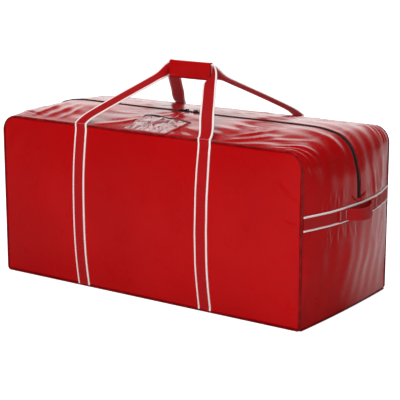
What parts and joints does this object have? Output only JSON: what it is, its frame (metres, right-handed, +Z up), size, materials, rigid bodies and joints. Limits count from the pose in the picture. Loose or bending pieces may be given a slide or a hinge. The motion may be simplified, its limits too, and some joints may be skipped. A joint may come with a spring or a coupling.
{
  "type": "hockey equipment bag",
  "caption": "Large boxy vinyl hockey equipment bag with a zipped crowned lid, carry handles joined in a wrapped grip, and webbing grab loops on its ends.",
  "frame": {"origin": "middle of the base, on the ground", "axes": "+X along the bag to its right end, +Y to its back, +Z up; the face with the name pocket beside it is the front, at -Y"},
  "size_m": [1.097, 0.4618, 0.6233],
  "materials": {
    "vinyl_red": "glossy coated vinyl",
    "webbing_red": "woven webbing with pale edge stripes",
    "piping_dark": "covered cord",
    "zip_black": "coil and woven tape",
    "metal_black": "satin black",
    "clear_window": "clear vinyl",
    "binding_black": "woven binding",
    "touch_black": "hook and loop"
  },
  "bodies": {
    "root": {"front_panel": "vinyl_red", "back_panel": "vinyl_red", "base_panel": "vinyl_red", "end_panel_right": "vinyl_red", "end_panel_left": "vinyl_red", "end_gusset_front_right": "vinyl_red", "end_gusset_front_left": "vinyl_red", "end_gusset_back_right": "vinyl_red", "end_gusset_back_left": "vinyl_red", "front_seam_piping": "piping_dark", "back_seam_piping": "piping_dark", "base_end_piping_right": "piping_dark", "base_end_piping_left": "piping_dark", "front_strap_right": "webbing_red", "front_strap_left": "webbing_red", "back_strap_right": "webbing_red", "back_strap_left": "webbing_red", "zip_end_chain_right": "zip_black", "zip_end_chain_left": "zip_black", "zip_end_patch_right": "vinyl_red", "zip_end_patch_left": "vinyl_red", "end_band_right": "webbing_red", "end_band_left": "webbing_red", "end_loop_right": "webbing_red", "end_loop_left": "webbing_red"},
    "front_flap": {"top_flap_front": "vinyl_red", "zip_chain_front": "zip_black", "id_frame": "vinyl_red", "id_window": "clear_window", "id_binding": "binding_black"},
    "back_flap": {"top_flap_back": "vinyl_red", "zip_chain_back": "zip_black"},
    "front_handle": {"front_handle_web": "webbing_red", "grip_pad": "vinyl_red", "grip_loop_strip": "touch_black"},
    "back_handle": {"back_handle_web": "webbing_red"},
    "grip_tab": {"grip_tab": "vinyl_red", "grip_hook_strip": "touch_black"},
    "slider_right": {"zip_slider_right": "metal_black"},
    "slider_left": {"zip_slider_left": "metal_black"},
    "pull_right": {"zip_pull_right": "metal_black"},
    "pull_left": {"zip_pull_left": "metal_black"}
  },
  "joints": [
    {"name": "front_flap_open", "type": "hinge", "parent": "root", "child": "front_flap", "pos_m": [0, -0.2277, 0.4562], "axis": [1, 0, 0], "range_deg": [0, 75]},
    {"name": "back_flap_open", "type": "hinge", "parent": "root", "child": "back_flap", "pos_m": [0, 0.2277, 0.4562], "axis": [-1, 0, 0], "range_deg": [0, 75]},
    {"name": "front_handle_swing", "type": "hinge", "parent": "front_flap", "child": "front_handle", "pos_m": [0, -0.2277, 0.4562], "axis": [1, 0, 0], "range_deg": [0, 135], "deforming": ["grip_tab"]},
    {"name": "back_handle_swing", "type": "hinge", "parent": "back_flap", "child": "back_handle", "pos_m": [0, 0.2277, 0.4562], "axis": [-1, 0, 0], "range_deg": [0, 135]},
    {"name": "grip_tab_open", "type": "hinge", "parent": "front_handle", "child": "grip_tab", "pos_m": [0, -0.007, 0.6213], "axis": [1, 0, 0], "range_deg": [0, 150]},
    {"name": "slider_right_slide", "type": "slide", "parent": "back_flap", "child": "slider_right", "axis": [1, 0, 0], "range_m": [0, 0.365], "deforming": ["zip_chain_front", "zip_chain_back"]},
    {"name": "slider_left_slide", "type": "slide", "parent": "back_flap", "child": "slider_left", "axis": [-1, 0, 0], "range_m": [0, 0.365]},
    {"name": "pull_right_swing", "type": "hinge", "parent": "slider_right", "child": "pull_right", "pos_m": [0.014, 0, 0.485], "axis": [0, -1, 0], "range_deg": [0, 160]},
    {"name": "pull_left_swing", "type": "hinge", "parent": "slider_left", "child": "pull_left", "pos_m": [-0.014, 0, 0.485], "axis": [0, 1, 0], "range_deg": [0, 160]}
  ]
}
